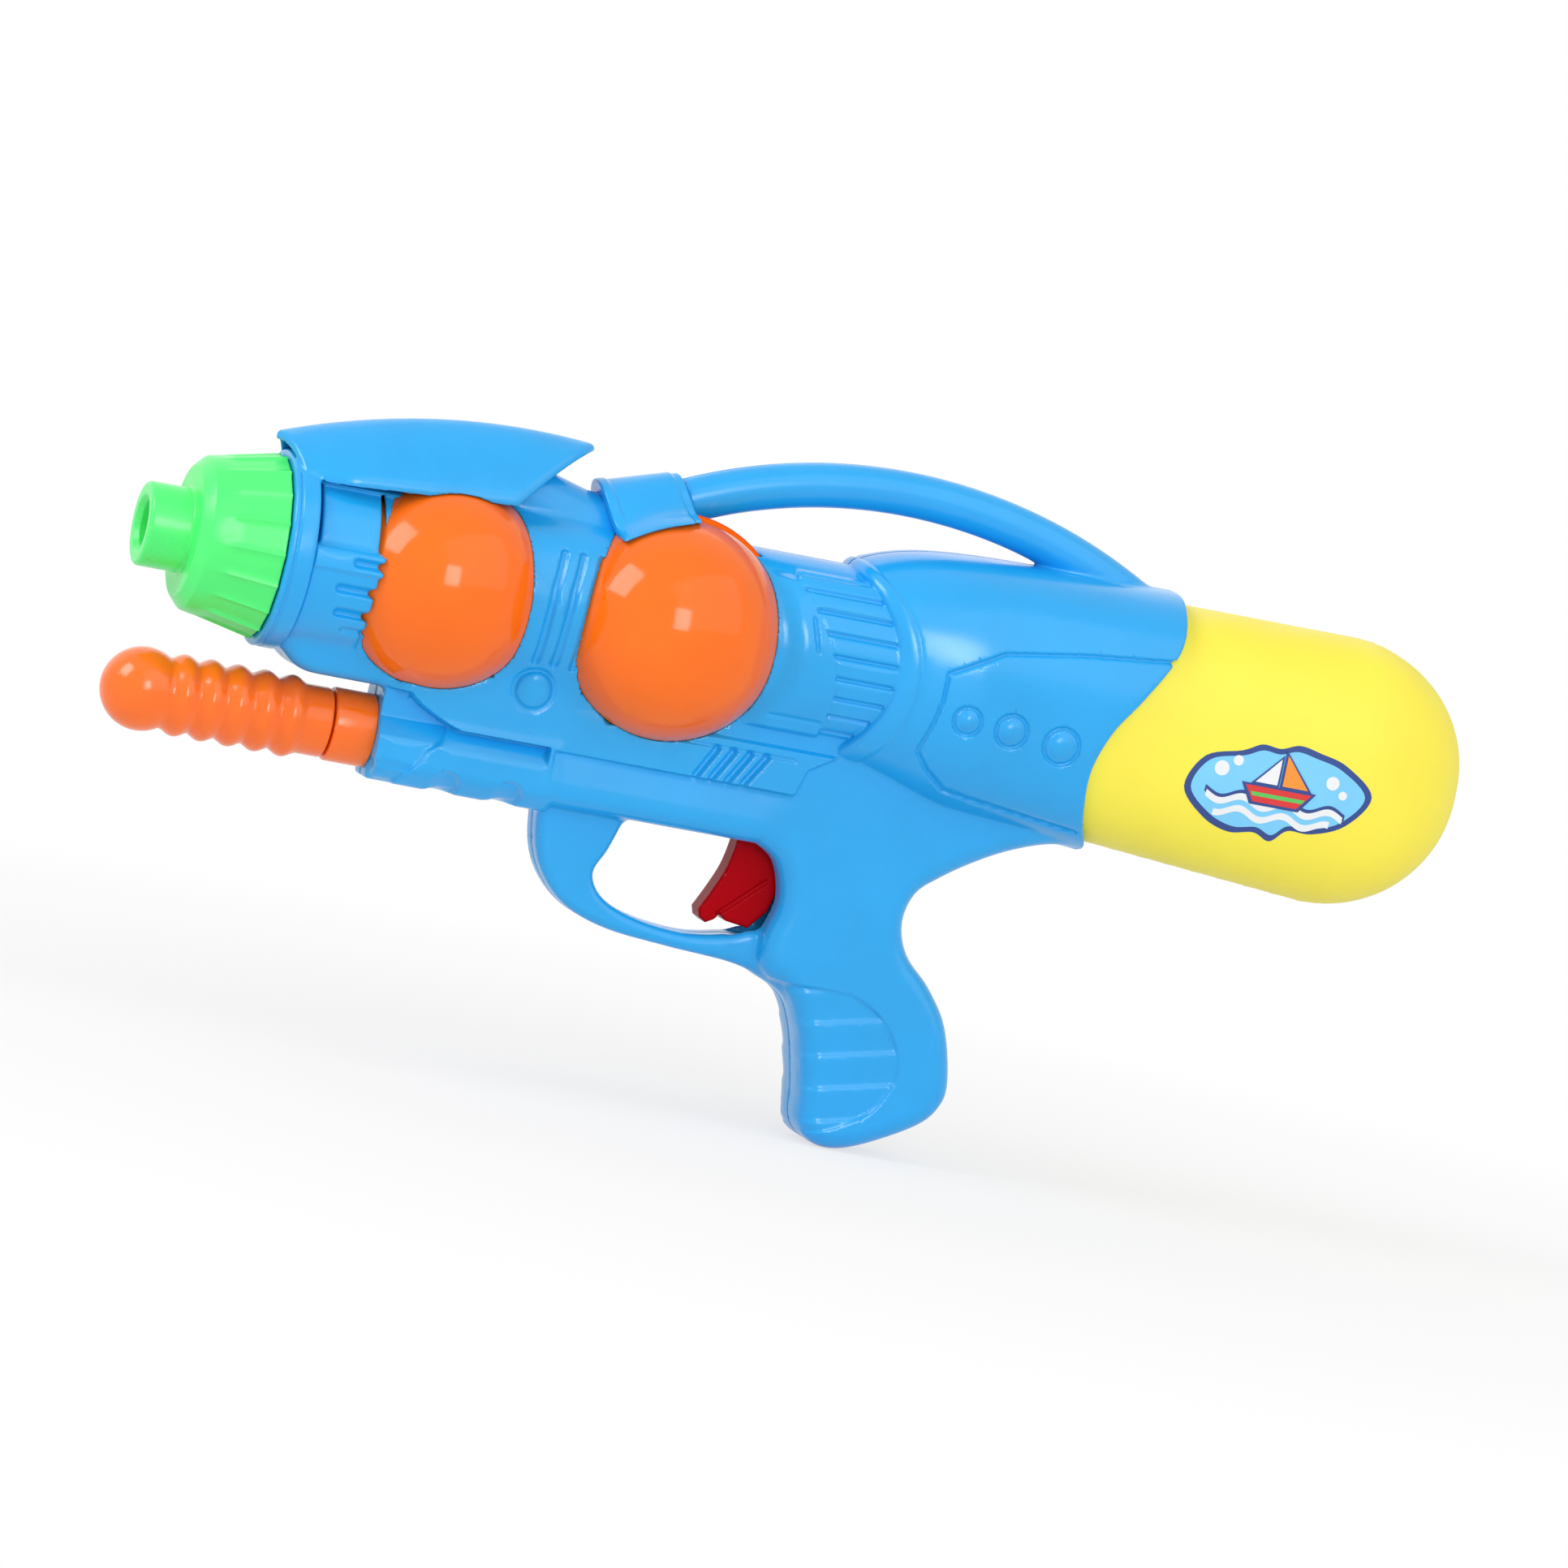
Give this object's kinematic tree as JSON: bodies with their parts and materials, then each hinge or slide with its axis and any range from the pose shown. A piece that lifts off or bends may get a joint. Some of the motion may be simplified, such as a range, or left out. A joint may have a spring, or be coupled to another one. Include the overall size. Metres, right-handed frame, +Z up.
{
  "type": "water squirter",
  "caption": "Toy water pistol with a blue moulded body, yellow rear tank, ribbed hand pump under the barrel, turning nozzle, orange side domes, trigger and arched carry handle.",
  "frame": {"origin": "under the middle of the toy's length, on its mid-plane, level with the foot of the grip", "axes": "+Z up; the nozzle points along -X and the tank along +X; the pictured left side faces -Y"},
  "size_m": [0.3458, 0.0718, 0.1684],
  "materials": {
    "blue": "satin moulded",
    "green": "satin moulded",
    "orange": "glossy moulded",
    "orange_pump": "satin moulded",
    "yellow": "soft sheen, blow moulded",
    "red": "satin moulded",
    "white": "plain moulded",
    "clear": "milky flexible tube",
    "seal": "matte",
    "steel": "plated"
  },
  "bodies": {
    "body": {"left_shell": "blue", "right_shell": "blue", "muzzle_hood": "blue", "handle_collar": "blue", "nozzle_body": "white", "nozzle_washer": "seal", "front_dome_left": "orange", "front_dome_right": "orange", "rear_dome_left": "orange", "rear_dome_right": "orange", "tank": "yellow", "tank_fitting": "white", "neck_gasket": "seal", "pickup_tube": "clear", "pump_cylinder": "white", "pump_collar": "orange_pump", "check_valve_body": "white", "check_valve_cap": "white", "check_ball": "steel", "check_spring": "steel", "trigger_pin": "steel", "valve_body": "white", "valve_cap": "white", "valve_spring": "steel", "air_hose": "clear", "feed_hose": "clear", "jet_hose": "clear", "shell_screws": "steel"},
    "pump": {"pump_handle": "orange_pump", "pump_rod": "white", "pump_piston": "red", "piston_seal": "seal"},
    "trigger": {"trigger": "red"},
    "valve_stem": {"valve_stem": "red", "valve_seal": "seal"},
    "nozzle_cap": {"nozzle_cap": "green"},
    "filler_plug": {"filler_plug": "blue", "filler_seal": "seal"}
  },
  "joints": [
    {"name": "pump_slide", "type": "slide", "parent": "body", "child": "pump", "axis": [-1, 0, 0], "range_m": [0, 0.045]},
    {"name": "trigger_pull", "type": "hinge", "parent": "body", "child": "trigger", "pos_m": [-0.0026, 0, 0.0761], "axis": [0, -1, 0], "range_deg": [0, 12], "stiffness_Nm_per_rad": 0.5, "springref_deg": -5.73},
    {"name": "valve_push", "type": "slide", "parent": "body", "child": "valve_stem", "axis": [1, 0, 0], "range_m": [0, 0.00325], "deforming": ["valve_spring"]},
    {"name": "nozzle_turn", "type": "hinge", "parent": "body", "child": "nozzle_cap", "pos_m": [-0.1511, 0, 0.1206], "axis": [-1, 0, 0], "range_deg": [0, 90]},
    {"name": "filler_plug_pull", "type": "slide", "parent": "body", "child": "filler_plug", "axis": [0, 1, 0], "range_m": [0, 0.03]}
  ],
  "couplings": [
    {"joint": "valve_push", "follows": "trigger_pull", "m_per_rad": 0.0155}
  ]
}
